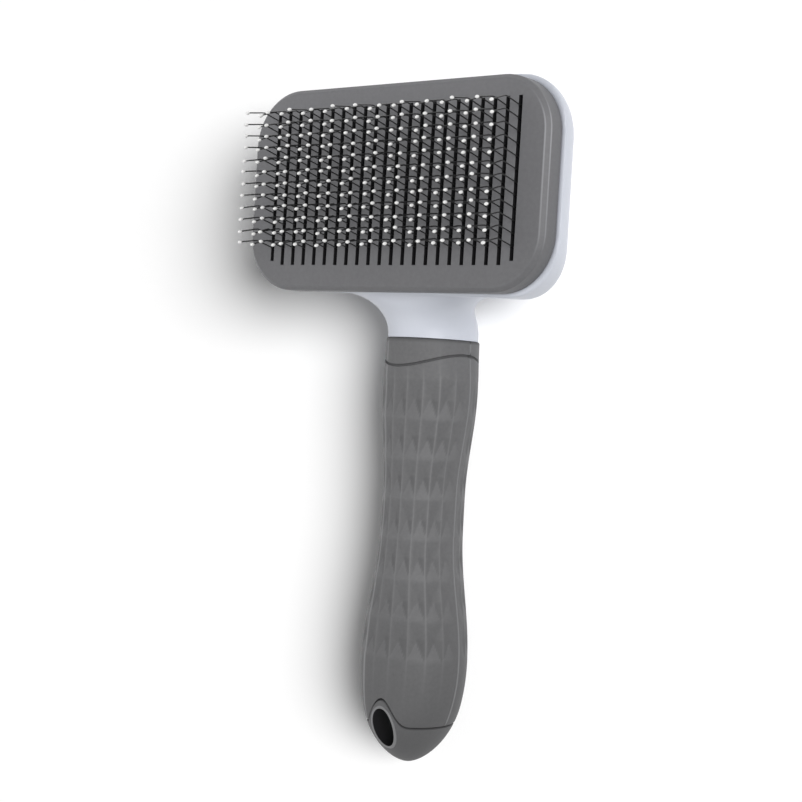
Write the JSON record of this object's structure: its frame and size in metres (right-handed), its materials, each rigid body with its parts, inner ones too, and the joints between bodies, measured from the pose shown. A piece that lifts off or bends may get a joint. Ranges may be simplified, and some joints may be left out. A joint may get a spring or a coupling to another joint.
{
  "type": "slicker brush",
  "caption": "Pet slicker brush with a slotted face plate over rows of bent, ball-tipped wire pins. A push button on the back slides the plate along the pins to lift the hair off.",
  "frame": {"origin": "under the middle of the brush, on the surface that it lies on", "axes": "+Z along the pins, away from the surface that the brush lies on; +Y from the tail of the handle to the top of the head; +X to the right seen from the pins"},
  "size_m": [0.11, 0.201, 0.056],
  "materials": {
    "grey_plastic": "fine matte moulding",
    "white_plastic": "satin moulding",
    "grey_grip": "soft matte moulding with dimples",
    "inner_plastic": "plain black moulding",
    "pin_steel": "drawn wire with white ball tips",
    "screw_steel": "bright steel"
  },
  "bodies": {
    "brush": {"pin_row_01": "pin_steel", "pin_row_02": "pin_steel", "pin_row_03": "pin_steel", "pin_row_04": "pin_steel", "pin_row_05": "pin_steel", "pin_row_06": "pin_steel", "pin_row_07": "pin_steel", "pin_row_08": "pin_steel", "pin_row_09": "pin_steel", "pin_row_10": "pin_steel", "pin_row_11": "pin_steel", "pin_row_12": "pin_steel", "pin_row_13": "pin_steel", "pin_row_14": "pin_steel", "pin_row_15": "pin_steel", "pin_row_16": "pin_steel", "pin_row_17": "pin_steel", "pin_row_18": "pin_steel", "pin_row_19": "pin_steel", "pin_row_20": "pin_steel", "pin_row_21": "pin_steel", "pin_row_22": "pin_steel", "back_shell": "white_plastic", "grip_front": "grey_grip", "grip_back": "grey_grip", "end_cap": "grey_grip", "pin_base": "inner_plastic", "return_spring_left": "screw_steel", "return_spring_right": "screw_steel", "base_screw_1": "screw_steel", "base_screw_2": "screw_steel", "base_screw_3": "screw_steel", "base_screw_4": "screw_steel"},
    "ejector": {"face_plate": "grey_plastic", "carrier": "inner_plastic", "push_button": "grey_plastic", "post_screw_1": "screw_steel", "post_screw_2": "screw_steel", "post_screw_3": "screw_steel", "post_screw_4": "screw_steel", "button_screw_1": "screw_steel", "button_screw_2": "screw_steel"}
  },
  "joints": [
    {"name": "ejector_slide", "type": "slide", "parent": "brush", "child": "ejector", "axis": [0, 0, 1], "range_m": [0, 0.008], "stiffness_N_per_m": 600, "springref_m": -0.01, "deforming": ["return_spring_left", "return_spring_right"]}
  ]
}
